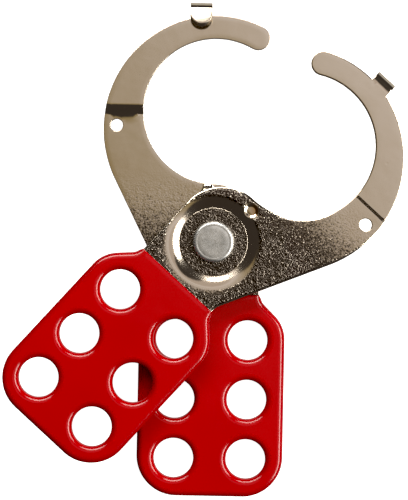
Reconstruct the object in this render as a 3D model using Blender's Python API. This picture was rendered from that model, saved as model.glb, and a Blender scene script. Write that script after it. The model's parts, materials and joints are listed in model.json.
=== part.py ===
"""Scissor lockout hasp: two identical steel jaw plates on one rivet, with vinyl-dipped handles.

Both plates come from one stamping, and the front one is the rear one turned over. The stamping is drawn in
its own frame, in millimetres: the pivot is the origin, the jaw is above it and curves round on the -X side,
the handle hangs below it, Z = 0 is the inner face and +Z points at the other plate.

In the world, +Z is the pivot axis and the origin is the middle of the rivet's rear head.
"""

from math import cos, hypot, pi, radians, sin, tan

import bmesh
import bpy
import numpy as np
from mathutils.geometry import delaunay_2d_cdt

MM = 0.001

# Stamped plate
SHEET = 2.3
JAW_CENTRE = (0.0, 34.25)
JAW_RADIUS = 19.05
JAW_TIP_RADIUS = 3.1
JAW_TIP_BEARING = 61.0
BACK_CENTRE = (0.47, 29.54)
BACK_RADIUS = 29.88
TOP_RADIUS = 28.2
TOP_MEETS_BACK = 115.0
NECK_BEARING = 206.6
NECK_HALF_WIDTH = 12.1
NECK_BEND_RADIUS = 4.0
HUB_RADIUS = 12.1

# How finely the outline is divided
HOLE_FACETS = 24
SMALL_FACETS = 16
END_FACETS = 10
CORNER_FACETS = 6
BACK_FACETS = 16
JAW_FACETS = 32
CREASE_X = (-35.0, -15.0)
CREASE_MARGIN = 1.0
SMOOTH_ANGLE = 30.0
MERGE = 1e-7

# Pressings, as steps towards the other plate
STEP = 1.1
JOGGLE_START_Y = 33.2
JOGGLE_END_Y = 35.8
DISH_FLOOR_RADIUS = 8.8
DISH_RIM_RADIUS = 10.9
STOP_CENTRE = (-1.7, 12.6)
STOP_RADIUS = 1.65
STOP_BASE_RADIUS = 1.8
STOP_HEIGHT = 1.6
SEAL_HOLE_CENTRE = (-26.0, 30.2)
SEAL_HOLE_RADIUS = 1.65

# Interlocking hook, folded up from the jaw's outer edge
HOOK_X = -4.3
HOOK_HALF_WIDTH = 2.9
HOOK_FOLD_Y = 59.3
HOOK_BEND_INSIDE = 0.7
HOOK_WALL = 1.6
HOOK_LIP_TURN = 72.0
HOOK_LIP = 0.9
HOOK_BEND_FACETS = 3

# Handle, whose steel is this much smaller than its coating all round
COATING = 1.0
COATING_TOP_Y = -13.7
COATING_HALF_WIDTH = 19.15
COATING_NECK_HALF_WIDTH = 12.7
COATING_BOTTOM_Y = -66.7
COATING_EDGE_RADIUS = 1.0
COATING_EDGE_STEPS = 2
MOUTH_OVERRUN = 5.0
SHOULDER_Y = -15.3
SHOULDER_INSIDE_RADIUS = 3.1
SHOULDER_OUTSIDE_RADIUS = 9.0
CORNER_RADIUS = 10.5
LOCK_HOLE_RADIUS = 5.17
LOCK_HOLE_X = 9.45
LOCK_HOLE_TOP_Y = -25.6
LOCK_HOLE_PITCH = 15.6
LOCK_HOLE_ROWS = 3

# Rivet and fits
SHANK_RADIUS = 3.95
SHANK_CLEARANCE = 0.07
HEAD_RADIUS = 5.4
HEAD_FACE_RADIUS = 4.6
HEAD_HEIGHT = 1.85
HEAD_GAP = 0.1
HEAD_CHAMFER = 0.8
RIVET_FACETS = 32
PLATE_GAP = 2.5
COATING_GAP = 0.15
OPEN_ANGLE = 41.8

STACK = PLATE_GAP / 2 - STEP + SHEET + HEAD_GAP
MIDDLE_Z = STACK + HEAD_HEIGHT


def polar(centre, radius, bearing):
    angle = radians(bearing)
    return (centre[0] + radius * cos(angle), centre[1] + radius * sin(angle))


def arc(centre, radius, start, end, facets):
    """Points on a circle from one bearing to another, in degrees counter-clockwise from +X."""
    return [polar(centre, radius, bearing) for bearing in np.linspace(start, end, facets + 1)]


def circle(centre, radius, facets=HOLE_FACETS):
    """A clockwise ring, so that the material around the hole is on its left."""
    return arc(centre, radius, 360.0, 0.0, facets)[:-1]


def rounded(corners, facets=CORNER_FACETS):
    """The open line through corners (x, y, radius), each turned on an arc of its own radius."""
    points = []
    for before, (x, y, radius), after in zip(corners, corners[1:], corners[2:]):
        here = np.array((x, y))
        back = np.array(before[:2]) - here
        ahead = np.array(after[:2]) - here
        back /= hypot(*back)
        ahead /= hypot(*ahead)
        half = np.arccos(np.clip(back @ ahead, -1, 1)) / 2
        centre = here + (back + ahead) / hypot(*(back + ahead)) * radius / sin(half)
        first = here + back * radius / tan(half) - centre
        last = here + ahead * radius / tan(half) - centre
        start = np.degrees(np.arctan2(first[1], first[0]))
        turn = (np.degrees(np.arctan2(last[1], last[0])) - start + 180) % 360 - 180
        points += arc(centre, radius, start, start + turn, facets)
    return points


def inset(loop, distance):
    """The closed loop moved to its left by a distance, mitred at its corners."""
    points = np.array(loop)
    ahead = np.roll(points, -1, axis=0) - points
    ahead /= np.linalg.norm(ahead, axis=1, keepdims=True)
    left = np.stack([-ahead[:, 1], ahead[:, 0]], axis=1)
    before = np.roll(left, 1, axis=0)
    mitre = (left + before) / (1 + (left * before).sum(axis=1, keepdims=True))
    return points + distance * mitre


def handle_corners(neck, under):
    """The handle's corners from left neck to right neck, this far under the coating's surface."""
    half = COATING_HALF_WIDTH - under
    slope = SHOULDER_Y + COATING_NECK_HALF_WIDTH - under * 2**0.5
    left = [
        (-neck, slope - neck, SHOULDER_INSIDE_RADIUS + under),
        (-half, slope - half, SHOULDER_OUTSIDE_RADIUS - under),
        (-half, COATING_BOTTOM_Y + under, CORNER_RADIUS - under),
    ]
    return left + [(-x, y, radius) for x, y, radius in reversed(left)]


def lock_holes(radius):
    rows = [LOCK_HOLE_TOP_Y - row * LOCK_HOLE_PITCH for row in range(LOCK_HOLE_ROWS)]
    return [circle((x, y), radius) for x in (-LOCK_HOLE_X, LOCK_HOLE_X) for y in rows]


def plate_outline():
    """The flat blank's edge, counter-clockwise from the jaw's tip, with the hook unfolded."""
    top_centre = polar(BACK_CENTRE, BACK_RADIUS - TOP_RADIUS, TOP_MEETS_BACK)
    tip_centre = polar(JAW_CENTRE, JAW_RADIUS + JAW_TIP_RADIUS, JAW_TIP_BEARING)
    tip_start = JAW_TIP_BEARING - 180.0
    tip_end = np.degrees(np.arctan2(tip_centre[1] - top_centre[1], tip_centre[0] - top_centre[0]))
    hook_sides = [HOOK_X + HOOK_HALF_WIDTH, HOOK_X - HOOK_HALF_WIDTH]
    root = [float(np.degrees(np.arccos((x - top_centre[0]) / TOP_RADIUS))) for x in hook_sides]
    hook_end = (HOOK_X, HOOK_FOLD_Y + sum(length for length, turn in hook_bends()))
    neck_start = polar(BACK_CENTRE, BACK_RADIUS, NECK_BEARING)
    neck_run = -NECK_HALF_WIDTH - neck_start[0]
    neck_corner_y = neck_start[1] + neck_run * tan(radians(NECK_BEARING + 90.0))
    hub_centre = (0.0, JAW_CENTRE[1] - JAW_RADIUS - HUB_RADIUS)
    hub_start = polar(hub_centre, HUB_RADIUS, 0.0)
    neck = [(*neck_start, 0), (-NECK_HALF_WIDTH, neck_corner_y, NECK_BEND_RADIUS)]
    return (
        arc(tip_centre, JAW_TIP_RADIUS, tip_start, tip_end, END_FACETS)
        + arc(top_centre, TOP_RADIUS, tip_end, root[0], CORNER_FACETS)[1:]
        + arc(hook_end, HOOK_HALF_WIDTH, 0.0, 180.0, END_FACETS)
        + arc(top_centre, TOP_RADIUS, root[1], TOP_MEETS_BACK, 2)
        + arc(BACK_CENTRE, BACK_RADIUS, TOP_MEETS_BACK, NECK_BEARING, BACK_FACETS)[1:]
        + rounded(neck + handle_corners(NECK_HALF_WIDTH, COATING) + [(*hub_start, 0)])
        + arc(hub_centre, HUB_RADIUS, 0.0, 90.0, END_FACETS)
        + arc(JAW_CENTRE, JAW_RADIUS, 270.0, JAW_TIP_BEARING, JAW_FACETS)[1:-1]
    )


def hook_bends():
    """The hook's stretches from its fold to its half-round end, as (length, degrees turned)."""
    middle = HOOK_BEND_INSIDE + SHEET / 2
    return [
        (middle * pi / 2, 90.0),
        (HOOK_WALL, 0.0),
        (middle * radians(HOOK_LIP_TURN), HOOK_LIP_TURN),
        (HOOK_LIP, 0.0),
    ]


def folded(along):
    """Where the hook's middle layer is, this far along from the fold: Y, Z and heading, as arrays."""
    y = np.zeros_like(along)
    z = np.zeros_like(along)
    heading = np.zeros_like(along)
    left = along
    for length, turn in hook_bends()[:-1] + [(np.inf, 0.0)]:
        run = np.clip(left, 0, length)
        left = left - run
        rate = radians(turn) / length if turn else 0.0
        turned = heading + run * rate
        if turn:
            y = y + (np.sin(turned) - np.sin(heading)) / rate
            z = z + (np.cos(heading) - np.cos(turned)) / rate
        else:
            y = y + run * np.cos(heading)
            z = z + run * np.sin(heading)
        heading = turned
    return y, z, heading


def pressed(flat, depth):
    """The blank's flat points moved to the finished plate, this far below its inner face."""
    x, y = flat[:, 0], flat[:, 1]
    from_pivot = np.hypot(x, y)
    from_stop = np.hypot(x - STOP_CENTRE[0], y - STOP_CENTRE[1])
    rise = np.interp(from_pivot, [DISH_FLOOR_RADIUS, DISH_RIM_RADIUS], [STEP, 0])
    rise += np.interp(y, [JOGGLE_START_Y, JOGGLE_END_Y], [0, STEP])
    rise += np.interp(from_stop, [STOP_RADIUS, STOP_BASE_RADIUS], [STOP_HEIGHT, 0])
    hook_y, hook_z, heading = folded(np.maximum(y - HOOK_FOLD_Y, 0))
    from_middle = depth + SHEET / 2
    bent_y = np.minimum(y, HOOK_FOLD_Y) + hook_y - from_middle * np.sin(heading)
    bent_z = rise - SHEET / 2 + hook_z + from_middle * np.cos(heading)
    return np.stack([x, bent_y, bent_z], axis=1)


def triangulated(outline, holes, creases=()):
    """Triangles that fill the outline but not its holes, with an edge along each crease."""
    points = []
    edges = []
    for line, closed in [(outline, True)] + [(hole, True) for hole in holes] + list(creases):
        first = len(points)
        points += [tuple(map(float, point)) for point in line]
        edges += [(i, i + 1) for i in range(first, len(points) - 1)]
        if closed:
            edges.append((len(points) - 1, first))
    flat, _, triangles, *_ = delaunay_2d_cdt(points, edges, [list(range(len(outline)))], 1, 1e-6)
    flat = np.array([tuple(point) for point in flat])
    triangles = np.array([tuple(triangle) for triangle in triangles])
    middles = flat[triangles].mean(axis=1)
    for hole in holes:
        centre = np.mean(hole, axis=0)
        radius = np.hypot(*(np.array(hole[0]) - centre))
        outside = np.hypot(*(middles - centre).T) > radius * cos(pi / len(hole))
        triangles = triangles[outside]
        middles = middles[outside]
    return flat, triangles


def mesh_from(name, points, faces):
    mesh = bpy.data.meshes.new(name)
    mesh.from_pydata((np.asarray(points) * MM).tolist(), [], [list(map(int, face)) for face in faces])
    shaped = bmesh.new()
    shaped.from_mesh(mesh)
    bmesh.ops.remove_doubles(shaped, verts=shaped.verts, dist=MERGE)
    bmesh.ops.recalc_face_normals(shaped, faces=shaped.faces)
    shaped.to_mesh(mesh)
    shaped.free()
    mesh.shade_smooth()
    mesh.set_sharp_from_angle(angle=radians(SMOOTH_ANGLE))
    return mesh


def plate_mesh():
    """The blank's net laid on the inner and the outer face, with walls along its free edges."""
    holes = [circle((0, 0), SHANK_RADIUS + SHANK_CLEARANCE, RIVET_FACETS)]
    holes += [circle(SEAL_HOLE_CENTRE, SEAL_HOLE_RADIUS, SMALL_FACETS)]
    holes += lock_holes(LOCK_HOLE_RADIUS + COATING)
    rings = [(circle((0, 0), radius, RIVET_FACETS), True) for radius in (DISH_FLOOR_RADIUS, DISH_RIM_RADIUS)]
    rings += [(circle(STOP_CENTRE, radius, SMALL_FACETS), True) for radius in (STOP_RADIUS, STOP_BASE_RADIUS)]
    joggle = [([(x, y) for x in CREASE_X], False) for y in (JOGGLE_START_Y, JOGGLE_END_Y)]
    folds = []
    start = HOOK_FOLD_Y
    for length, turn in hook_bends()[:-1]:
        if turn:
            folds += list(np.linspace(start, start + length, HOOK_BEND_FACETS + 1))
        start += length
    edge_x = HOOK_HALF_WIDTH + CREASE_MARGIN
    hook = [([(HOOK_X - edge_x, y), (HOOK_X + edge_x, y)], False) for y in folds]
    flat, triangles = triangulated(plate_outline(), holes, rings + joggle + hook)
    count = len(flat)
    sides = np.concatenate([triangles[:, [0, 1]], triangles[:, [1, 2]], triangles[:, [2, 0]]])
    shared = {tuple(side) for side in sides[:, ::-1]}
    free = np.array([side for side in sides if tuple(side) not in shared])
    walls = np.stack([free[:, 1], free[:, 0], free[:, 0] + count, free[:, 1] + count], axis=1)
    points = np.concatenate([pressed(flat, 0), pressed(flat, -SHEET)])
    faces = list(triangles) + list(triangles[:, ::-1] + count) + list(walls)
    return mesh_from("jaw_plate", points, faces)


def ring_walls(first, size, rings):
    """Quads between rings of points that follow one another, each ring having this many points."""
    here = np.arange(size)
    after = (here + 1) % size
    starts = first + size * np.arange(rings - 1)[:, None]
    quads = np.stack([starts + here, starts + after, starts + size + after, starts + size + here], axis=-1)
    return list(quads.reshape(-1, 4))


def slab_mesh(name, outline, holes, low, high, edge_radius=0.0, steps=0):
    """A flat slab whose edges, outside and in its holes, are turned on a quarter circle."""
    angles = np.linspace(0, pi / 2, steps + 1)
    turned_in = edge_radius * (1 - np.sin(angles))
    from_face = edge_radius * (1 - np.cos(angles))
    insets = np.concatenate([turned_in, turned_in[::-1]])
    heights = np.concatenate([low + from_face, high - from_face[::-1]])
    points = []
    faces = []
    for loop in [outline] + holes:
        faces += ring_walls(len(points), len(loop), len(insets))
        for distance, height in zip(insets, heights):
            points += [(x, y, height) for x, y in inset(loop, distance)]
    face_holes = [inset(hole, insets[0]) for hole in holes]
    flat, triangles = triangulated(inset(outline, insets[0]), face_holes)
    for height, order in ((low, -1), (high, 1)):
        faces += list(triangles[:, ::order] + len(points))
        points += [(x, y, height) for x, y in flat]
    return mesh_from(name, points, faces)


def coating_mesh():
    """The dipped skin: a soft-edged slab with a pocket for the steel, open where the steel enters."""
    mouth = (COATING_NECK_HALF_WIDTH, COATING_TOP_Y)
    corners = handle_corners(COATING_NECK_HALF_WIDTH, 0.0)
    skin = [mouth, (-mouth[0], mouth[1])] + rounded([(-mouth[0], mouth[1], 0)] + corners + [(*mouth, 0)])
    past = (NECK_HALF_WIDTH, COATING_TOP_Y + MOUTH_OVERRUN)
    corners = handle_corners(NECK_HALF_WIDTH, COATING)
    steel = [past, (-past[0], past[1])] + rounded([(-past[0], past[1], 0)] + corners + [(*past, 0)])
    posts = lock_holes(LOCK_HOLE_RADIUS + COATING)
    room = COATING_GAP
    outside = slab_mesh("coating", skin, lock_holes(LOCK_HOLE_RADIUS), -SHEET - COATING, COATING,
                        COATING_EDGE_RADIUS, COATING_EDGE_STEPS)
    pocket = slab_mesh("pocket", inset(steel, -room), [inset(post, -room) for post in posts],
                       -SHEET - room, room)
    return cut(outside, pocket)


def cut(mesh, cutter_mesh):
    """The mesh with the cutter taken out of it."""
    body = bpy.data.objects.new("cut_body", mesh)
    cutter = bpy.data.objects.new("cutter", cutter_mesh)
    cutter.hide_render = True
    cutter.display_type = "WIRE"
    for made in (body, cutter):
        bpy.context.collection.objects.link(made)
    difference = body.modifiers.new("pocket", "BOOLEAN")
    difference.operation = "DIFFERENCE"
    difference.solver = "EXACT"
    difference.object = cutter
    graph = bpy.context.evaluated_depsgraph_get()
    result = bpy.data.meshes.new_from_object(body.evaluated_get(graph))
    for made in (body, cutter):
        bpy.data.objects.remove(made, do_unlink=True)
    return result


def rivet_mesh():
    """The rivet turned about the pivot, from its rear head's face to its front head's."""
    end = STACK + HEAD_HEIGHT
    half = [
        (HEAD_FACE_RADIUS, end),
        (HEAD_RADIUS, end - HEAD_CHAMFER),
        (HEAD_RADIUS, STACK),
        (SHANK_RADIUS, STACK),
    ]
    profile = [(radius, -z) for radius, z in half] + half[::-1]
    points = [(*spot, z) for radius, z in profile for spot in circle((0, 0), radius, RIVET_FACETS)]
    last = len(points) - RIVET_FACETS
    ends = [list(range(RIVET_FACETS)), list(range(last, len(points)))]
    return mesh_from("rivet", points, ring_walls(0, RIVET_FACETS, len(profile)) + ends)


def material(name, colour, roughness, metallic):
    made = bpy.data.materials.new(name)
    made.use_nodes = True
    shader = made.node_tree.nodes["Principled BSDF"]
    shader.inputs["Base Color"].default_value = (*colour, 1.0)
    shader.inputs["Roughness"].default_value = roughness
    shader.inputs["Metallic"].default_value = metallic
    return made


def add_pair(node, mesh, finish, pivot, opened):
    """The rear piece, and its twin turned over on the opened arm."""
    mesh.materials.clear()
    mesh.materials.append(finish)
    for side, parent, turned, place in (("rear", pivot, 0.0, -1), ("front", opened, pi, 1)):
        piece = bpy.data.objects.new(f"{side}_{node}", mesh)
        bpy.context.collection.objects.link(piece)
        piece.parent = parent
        piece.location.z = place * PLATE_GAP / 2 * MM
        piece.rotation_euler.y = turned


def main():
    for old in list(bpy.data.objects):
        bpy.data.objects.remove(old, do_unlink=True)
    nickel = material("nickel_plate", (0.62, 0.56, 0.47), 0.2, 1.0)
    vinyl = material("red_vinyl", (0.52, 0.0, 0.006), 0.2, 0.0)
    zinc = material("zinc_rivet", (0.66, 0.67, 0.69), 0.35, 1.0)
    pivot = bpy.data.objects.new("pivot", None)
    opened = bpy.data.objects.new("opened_arm", None)
    for empty in (pivot, opened):
        bpy.context.collection.objects.link(empty)
    pivot.location.z = MIDDLE_Z * MM
    opened.parent = pivot
    opened.rotation_euler.z = -radians(OPEN_ANGLE)
    add_pair("jaw_plate", plate_mesh(), nickel, pivot, opened)
    add_pair("handle_coating", coating_mesh(), vinyl, pivot, opened)
    rivet = bpy.data.objects.new("pivot_rivet", rivet_mesh())
    rivet.data.materials.append(zinc)
    rivet.parent = pivot
    bpy.context.collection.objects.link(rivet)


main()
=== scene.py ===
"""Finish of a scissor lockout hasp: plated steel jaws, dipped vinyl handles, a zinc rivet and a plain studio.

Both jaw plates come from one stamping, and the front one is the rear one turned over, so every shape here is
worked out once in the stamping's own frame, in millimetres: the pivot is the origin, the jaw is above it, the
handle hangs below it, Z = 0 is the inner face and +Z points at the other plate.
"""

import json
from math import cos, hypot, pi, radians, sin, tan

import bmesh
import bpy
import numpy as np
from bpy.props import FloatProperty, FloatVectorProperty, PointerProperty
from mathutils import Matrix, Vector
from mathutils.geometry import delaunay_2d_cdt


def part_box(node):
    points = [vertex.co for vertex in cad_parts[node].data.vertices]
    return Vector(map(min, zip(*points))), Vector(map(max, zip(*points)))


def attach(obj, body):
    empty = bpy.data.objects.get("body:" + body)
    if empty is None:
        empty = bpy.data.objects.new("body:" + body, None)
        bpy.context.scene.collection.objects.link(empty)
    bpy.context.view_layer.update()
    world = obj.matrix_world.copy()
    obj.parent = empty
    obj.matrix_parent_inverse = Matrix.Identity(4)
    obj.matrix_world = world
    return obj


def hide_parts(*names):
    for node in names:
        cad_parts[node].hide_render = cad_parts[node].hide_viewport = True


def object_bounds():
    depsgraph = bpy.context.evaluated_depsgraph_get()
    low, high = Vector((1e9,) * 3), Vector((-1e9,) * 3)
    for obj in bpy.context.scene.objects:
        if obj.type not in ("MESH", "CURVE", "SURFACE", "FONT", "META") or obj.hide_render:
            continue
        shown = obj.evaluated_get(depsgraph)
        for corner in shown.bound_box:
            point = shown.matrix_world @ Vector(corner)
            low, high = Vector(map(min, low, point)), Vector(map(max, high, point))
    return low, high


bl_info = {
    "name": "Lockout hasp finish",
    "version": (1, 0, 0),
    "blender": (4, 5, 0),
    "location": "3D View > Sidebar > Hasp",
    "description": "Builds the finished surfaces of a scissor lockout hasp around its working model",
    "category": "Object",
}

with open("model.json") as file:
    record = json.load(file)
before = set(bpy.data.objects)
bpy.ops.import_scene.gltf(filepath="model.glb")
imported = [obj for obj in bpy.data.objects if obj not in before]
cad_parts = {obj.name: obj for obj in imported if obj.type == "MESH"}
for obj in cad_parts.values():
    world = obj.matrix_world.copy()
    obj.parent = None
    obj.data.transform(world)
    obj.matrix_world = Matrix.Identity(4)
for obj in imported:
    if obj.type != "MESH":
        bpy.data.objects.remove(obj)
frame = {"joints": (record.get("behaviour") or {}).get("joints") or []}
cad_low, cad_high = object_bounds()

MM = 0.001

# Levels and pose, read from the working model
rivet_low, rivet_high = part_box("pivot_rivet")
rear_low, rear_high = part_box("rear_handle_coating")
front_low, front_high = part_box("front_handle_coating")
MIDDLE_Z = (rivet_low.z + rivet_high.z) / 2 / MM
RIVET_HALF = (rivet_high.z - rivet_low.z) / 2 / MM
LEVEL_STEP = (front_low.z + front_high.z - rear_low.z - rear_high.z) / 2 / MM
HANDLE_THICKNESS = (rear_high.z - rear_low.z) / MM
OPEN_ANGLE = frame["joints"][0]["range_deg"][1]

# Stamped plate
COATING = 1.0
SHEET = HANDLE_THICKNESS - 2 * COATING
PLATE_GAP = LEVEL_STEP - SHEET
JAW_CENTRE = (0.0, 34.25)
JAW_RADIUS = 19.05
JAW_TIP_RADIUS = 3.1
JAW_TIP_BEARING = 61.0
BACK_CENTRE = (0.47, 29.54)
BACK_RADIUS = 29.88
TOP_RADIUS = 28.2
TOP_MEETS_BACK = 115.0
NECK_BEARING = 206.6
NECK_HALF_WIDTH = 12.1
NECK_BEND_RADIUS = 4.0
HUB_RADIUS = 12.1

# Pressings, each a slope between a sharper and a softer bend
STEP = 1.1
JOGGLE_INNER_BENDS = (33.1, 33.3, 34.7, 35.9)
JOGGLE_OUTER_BENDS = (33.8, 34.0, 34.45, 34.6)
DISH_BENDS = (8.6, 9.0, 10.4, 12.4)
STOP_CENTRE = (-1.7, 12.6)
STOP_BENDS = (1.0, 1.3, 1.75, 2.0)
STOP_HEIGHT = 1.6
STOP_RECESS_FILL = 0.77
RING_RADIUS = 8.72
RING_HALF_WIDTH = 0.17
RING_HEIGHT = 0.006
INNER_FACE_DEPTH = 0.1
JAW_ROLL = 0.3
ROLL_FADES = (20.0, 33.0)
SEAL_HOLE_CENTRE = (-26.0, 30.2)
SEAL_HOLE_RADIUS = 1.65

# Interlocking hook, folded up from the jaw's outer edge
HOOK_X = -4.3
HOOK_HALF_WIDTH = 2.9
HOOK_FOLD_Y = 59.3
HOOK_BEND_INSIDE = 0.7
HOOK_WALL = 1.6
HOOK_LIP_TURN = 72.0
HOOK_LIP = 0.9

# Handle, whose steel is this much smaller than its coating all round
COATING_TOP_Y = -13.7
COATING_HALF_WIDTH = 19.15
COATING_NECK_HALF_WIDTH = 12.7
COATING_BOTTOM_Y = -66.7
POCKET_ROOM = 0.06
POCKET_ROUND = 0.25
MOUTH_TAPER = 0.9
SHOULDER_Y = -15.3
SHOULDER_INSIDE_RADIUS = 3.1
SHOULDER_OUTSIDE_RADIUS = 9.0
CORNER_RADIUS = 10.5
LOCK_HOLE_RADIUS = 5.17
LOCK_HOLE_X = 9.45
LOCK_HOLE_TOP_Y = -25.6
LOCK_HOLE_PITCH = 15.6
LOCK_HOLE_ROWS = 3

# Rivet
SHANK_RADIUS = 3.95
SHANK_CLEARANCE = 0.07
HEAD_RADIUS = 5.4
HEAD_HEIGHT = 1.85
HEAD_FOOT_CHAMFER = 0.1
CHAMFER_BULGE = 0.9
DIMPLE_RADIUS = 3.0
DIMPLE_DEPTH = 0.02
GROOVE_HALF_WIDTH = 0.15
GROOVE_DEPTH = 0.035

# Where the plating is smooth: by height on the stamping's faces, by distance from the pivot on the dish
OUTER_SMOOTHS = (9.0, 36.0)
INNER_SMOOTHS = (-3.0, 22.0)
INNER_LEAST_SMOOTH = 0.25
POLISH_STARTS = (8.75, 8.95)
POLISH_ENDS = 12.3
POLISH_LEAN = 0.5
POLISH_FADE = 0.6
POLISH_SHARE = 0.97
POLISH_TILTS = (-0.995, -0.96)
STOP_COARSE_STARTS = (1.9, 2.4)
# Painted reflection: the side, start and end of the warm reflection painted on the far wall of the stop's
# recess
REFLECTING_SIDE_BEARING = (-0.74, 0.67)
REFLECTING_SIDE_STARTS = (-1.2, 1.6)
RIM_REFLECTION_ENDS = (1.6, 1.95)

# How finely the surfaces are divided
EDGE_SPACING = 0.3
FINE_EDGE_SPACING = EDGE_SPACING / 3
SEAL_HOLE_SPACING = 0.2
NET_SPACING = 1.5
NET_CLEARANCE = 0.12
FEATURE_SPACING = 0.22
FEATURE_MARGIN = 0.3
PLAIN_MARGIN = 1.0
STOP_SPACING = 0.08
STOP_MARGIN = 0.2
STOP_FACETS = 60
RING_SPACING = 0.0566
JOGGLE_X = (-30.0, -17.0)
JOGGLE_SPACING = (0.6, FEATURE_SPACING / 2)
JOGGLE_MARGIN = 0.2
HOOK_REACH = 12.0
HOOK_SPACING = (0.5, FEATURE_SPACING)
NET_INSET = 1.4
HOLE_INSET = 0.3
ROUND_FACETS = 160
EDGE_FACETS = 10
COATING_FACETS = 8
COATING_SPACING = 0.9
COATING_NET_SPACING = 2.0
COATING_NET_CLEARANCE = 0.6
COATING_NET_INSET = 0.15
MOUTH_FACETS = 40
LIP_FACETS = 8
MERGE_DISTANCE = 2e-7

# Sizes of the patterns in the materials: per grain for the nickel, per metre for the rest
SPECK_FINENESS = 2.2
SWELL_FINENESS = 0.4
RIPPLE_FINENESS = 0.06
PIT_FINENESS = 0.05
STAIN_SCALE = 90.0
VINYL_WAVE_SCALE = 160.0
VINYL_SKIN_SCALE = 1400.0
VINYL_BLOTCH_SCALE = 35.0
VINYL_WAVE_HEIGHT = 0.00004
VINYL_IOR = 1.54
ZINC_MOTTLE_SCALE = 900.0
ZINC_CLOUD_SCALE = 260.0
ZINC_MOTTLE_HEIGHT = 0.00003

# Studio
FLOOR_GAP = 0.0002
FLOOR_HALF = 3.0
FLOOR_CORNERS = ((-1, -1), (1, -1), (1, 1), (-1, 1))
CAMERA_SHIFT = (-0.00246, -0.00215)
CAMERA_ROLL = 1.1
CAMERA_CLIP = 0.01
SENSOR = 36.0
BLACK_LEVEL = 0.015
CLOUD_BEARING = 45.0
CLOUD_CENTRE = 0.3
CLOUD_HALF_LENGTH = 0.45
CLOUD_HALF_WIDTH = 0.8
CLOUD_DEEP = (0.334, 0.263, 0.15, 1.0)
CLOUD_BRIGHT = (0.96, 0.9, 0.94, 1.0)
CLOUD_FAR = (0.55, 0.47, 0.42, 1.0)
WALLS = (0.061, 0.054, 0.052, 1.0)
TABLE = (0.55, 0.52, 0.48, 1.0)
TABLE_TOP = -2.0
TABLE_BOTTOM = -16.0
LIGHT_DISTANCE = 0.9
LIGHT_COLOUR = (1.0, 0.95, 0.88)
SOFT_LIGHTS = (
    ("side_light", -4.0, 50.0, (1.1, 0.28)),
    ("top_light_near", 100.0, 48.5, (1.0, 0.13)),
    ("top_light_far", 100.0, 58.5, (1.0, 0.13)),
)


def polar(centre, radius, bearing):
    """The point at this distance and bearing from a centre."""
    angle = radians(bearing)
    return (centre[0] + radius * cos(angle), centre[1] + radius * sin(angle))


def arc(centre, radius, start, end, spacing=EDGE_SPACING):
    """Points on a circle from one bearing to another, centre + radius * (cos, sin)."""
    facets = max(2, int(np.ceil(abs(radians(end - start)) * radius / spacing)))
    angles = np.radians(np.linspace(start, end, facets + 1))
    return np.stack([centre[0] + radius * np.cos(angles), centre[1] + radius * np.sin(angles)], axis=1)


def circle(centre, radius, spacing=EDGE_SPACING):
    """A clockwise ring, so that the material around the hole is on its left."""
    return arc(centre, radius, 360.0, 0.0, spacing)[:-1]


def rounded(corners):
    """The open line through corners (x, y, radius), each turned on an arc of its own radius."""
    lines = []
    for before, (x, y, radius), after in zip(corners, corners[1:], corners[2:]):
        here = np.array((x, y))
        back = np.array(before[:2]) - here
        ahead = np.array(after[:2]) - here
        back /= hypot(*back)
        ahead /= hypot(*ahead)
        half = np.arccos(np.clip(back @ ahead, -1, 1)) / 2
        centre = here + (back + ahead) / hypot(*(back + ahead)) * radius / sin(half)
        first = here + back * radius / tan(half) - centre
        last = here + ahead * radius / tan(half) - centre
        start = np.degrees(np.arctan2(first[1], first[0]))
        turn = (np.degrees(np.arctan2(last[1], last[0])) - start + 180) % 360 - 180
        lines.append(arc(centre, radius, start, start + turn))
    return np.concatenate(lines)


def refined(line, spacing=EDGE_SPACING, closed=True):
    """The line with each stretch divided into equal steps that are no longer than the spacing."""
    points = np.asarray(line, float)
    starts = points if closed else points[:-1]
    ahead = (np.roll(points, -1, axis=0) - points)[: len(starts)]
    steps = np.maximum(np.ceil(np.linalg.norm(ahead, axis=1) / spacing - 0.02), 1).astype(int)
    order = np.arange(steps.sum()) - np.repeat(np.cumsum(steps) - steps, steps)
    share = (order / np.repeat(steps, steps))[:, None]
    fine = np.repeat(starts, steps, axis=0) + share * np.repeat(ahead, steps, axis=0)
    return fine if closed else np.concatenate([fine, points[-1:]])


def leftward(line, closed=True):
    """Each point's way to the line's left, long enough that a shift by it keeps the stretches parallel."""
    ahead = np.roll(line, -1, axis=0) - line
    if not closed:
        ahead[-1] = ahead[-2]
    ahead /= np.linalg.norm(ahead, axis=1, keepdims=True)
    left = np.stack([-ahead[:, 1], ahead[:, 0]], axis=1)
    before = np.roll(left, 1, axis=0)
    if not closed:
        before[0] = left[0]
    return (left + before) / (1 + (left * before).sum(axis=1, keepdims=True))


def handle_corners(neck, under):
    """The handle's corners from left neck to right neck, this far under the coating's surface."""
    half = COATING_HALF_WIDTH - under
    slope = SHOULDER_Y + COATING_NECK_HALF_WIDTH - under * 2**0.5
    left = [
        (-neck, slope - neck, SHOULDER_INSIDE_RADIUS + under),
        (-half, slope - half, SHOULDER_OUTSIDE_RADIUS - under),
        (-half, COATING_BOTTOM_Y + under, CORNER_RADIUS - under),
    ]
    return left + [(-x, y, radius) for x, y, radius in reversed(left)]


def lock_holes(radius):
    """The handle's two columns of round holes."""
    rows = [LOCK_HOLE_TOP_Y - row * LOCK_HOLE_PITCH for row in range(LOCK_HOLE_ROWS)]
    return [circle((x, y), radius) for x in (-LOCK_HOLE_X, LOCK_HOLE_X) for y in rows]


def hook_bends():
    """The hook's stretches from its fold to its half-round end, as (length, degrees turned)."""
    middle = HOOK_BEND_INSIDE + SHEET / 2
    return [
        (middle * pi / 2, 90.0),
        (HOOK_WALL, 0.0),
        (middle * radians(HOOK_LIP_TURN), HOOK_LIP_TURN),
        (HOOK_LIP, 0.0),
    ]


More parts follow.
